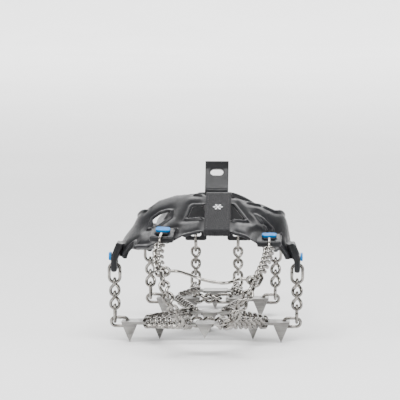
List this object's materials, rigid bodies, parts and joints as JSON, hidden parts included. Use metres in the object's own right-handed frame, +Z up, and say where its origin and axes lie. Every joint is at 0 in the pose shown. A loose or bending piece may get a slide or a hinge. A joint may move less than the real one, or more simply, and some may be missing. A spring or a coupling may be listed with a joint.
{
  "type": "microspikes",
  "caption": "Shoe traction device: a black elastomer harness with side windows and a webbing keeper, steel chains, a wire toe bail and rocking spiked plates.",
  "frame": {"origin": "on the ground under the middle of the bounding box, with the spike tips on the ground", "axes": "+Z up, -Y towards the toe, +Y towards the heel, +X towards the inner side of a right shoe"},
  "size_m": [0.1238, 0.3002, 0.099],
  "materials": {
    "elastomer": "moulded satin",
    "webbing": "woven",
    "insert": "moulded",
    "chain_steel": "tumbled stainless",
    "bail_steel": "polished stainless wire",
    "plate_steel": "stamped stainless"
  },
  "bodies": {
    "base": {"front_harness": "elastomer", "left_band": "elastomer", "right_band": "elastomer", "keeper_strap": "webbing", "front_left_insert": "insert", "front_right_insert": "insert", "side_left_insert": "insert", "side_right_insert": "insert", "front_chain_left": "chain_steel", "front_chain_right": "chain_steel", "side_left_chain": "chain_steel", "side_right_chain": "chain_steel", "side_left_edge_links": "chain_steel", "side_right_edge_links": "chain_steel", "heel_left_edge_links": "chain_steel", "heel_right_edge_links": "chain_steel", "rear_left_edge_links": "chain_steel", "rear_right_edge_links": "chain_steel", "toe_chain_left": "chain_steel", "toe_chain_right": "chain_steel", "ball_chain": "chain_steel", "arch_chain_left": "chain_steel", "arch_chain_right": "chain_steel", "shank_chain_left": "chain_steel", "shank_chain_right": "chain_steel", "heel_chain": "chain_steel", "rear_grid_chain_left": "chain_steel", "rear_grid_chain_right": "chain_steel", "ball_plate_left": "plate_steel", "ball_plate_right": "plate_steel", "heel_plate_left": "plate_steel", "heel_plate_right": "plate_steel"},
    "heel": {"heel_harness": "elastomer", "heel_left_insert": "insert", "heel_right_insert": "insert", "rear_left_insert": "insert", "rear_right_insert": "insert"},
    "pull_tab": {"pull_tab": "elastomer"},
    "bail": {"toe_bail": "bail_steel"},
    "toe_plate": {"toe_plate": "plate_steel"},
    "middle_plate": {"middle_plate": "plate_steel"},
    "rear_plate": {"rear_plate": "plate_steel"},
    "heel_left_chain": {"heel_left_chain": "chain_steel"},
    "heel_right_chain": {"heel_right_chain": "chain_steel"},
    "rear_left_chain": {"rear_left_chain": "chain_steel"},
    "rear_right_chain": {"rear_right_chain": "chain_steel"}
  },
  "joints": [
    {"name": "heel_stretch", "type": "slide", "parent": "base", "child": "heel", "axis": [0, 0.9909, -0.1347], "range_m": [0, 0.009], "stiffness_N_per_m": 400, "deforming": ["left_band", "right_band"]},
    {"name": "pull_tab_bend", "type": "hinge", "parent": "heel", "child": "pull_tab", "pos_m": [0, 0.1388, 0.07895], "axis": [1, 0, 0], "range_deg": [-45, 20], "stiffness_Nm_per_rad": 0.05},
    {"name": "bail_swing", "type": "hinge", "parent": "base", "child": "bail", "pos_m": [-0.02104, -0.12839, 0.05254], "axis": [0.9916, -0.094, -0.0885], "range_deg": [-18, 12]},
    {"name": "toe_plate_rock", "type": "hinge", "parent": "base", "child": "toe_plate", "pos_m": [0.003, -0.118, 0.0196], "axis": [1, 0, 0], "range_deg": [-5, 5]},
    {"name": "middle_plate_rock", "type": "hinge", "parent": "base", "child": "middle_plate", "pos_m": [0.001, 0, 0.0121], "axis": [1, 0, 0], "range_deg": [-8, 8]},
    {"name": "rear_plate_rock", "type": "hinge", "parent": "base", "child": "rear_plate", "pos_m": [0, 0.121, 0.0121], "axis": [1, 0, 0], "range_deg": [-8, 8]},
    {"name": "heel_left_tilt", "type": "hinge", "parent": "base", "child": "heel_left_chain", "pos_m": [-0.0417, 0.076, 0.0121], "axis": [1, 0, 0], "range_deg": [-15.59, 0]},
    {"name": "heel_right_tilt", "type": "hinge", "parent": "base", "child": "heel_right_chain", "pos_m": [0.0417, 0.076, 0.0121], "axis": [1, 0, 0], "range_deg": [-15.59, 0]},
    {"name": "rear_left_tilt", "type": "hinge", "parent": "base", "child": "rear_left_chain", "pos_m": [-0.0146, 0.1456, 0.0121], "axis": [1, 0, 0], "range_deg": [-15.59, 0]},
    {"name": "rear_right_tilt", "type": "hinge", "parent": "base", "child": "rear_right_chain", "pos_m": [0.0146, 0.1456, 0.0121], "axis": [1, 0, 0], "range_deg": [-15.59, 0]}
  ],
  "couplings": [
    {"joint": "heel_left_tilt", "follows": "heel_stretch", "rad_per_m": -30.031},
    {"joint": "heel_right_tilt", "follows": "heel_stretch", "rad_per_m": -30.031},
    {"joint": "rear_left_tilt", "follows": "heel_stretch", "rad_per_m": -30.031},
    {"joint": "rear_right_tilt", "follows": "heel_stretch", "rad_per_m": -30.031}
  ]
}
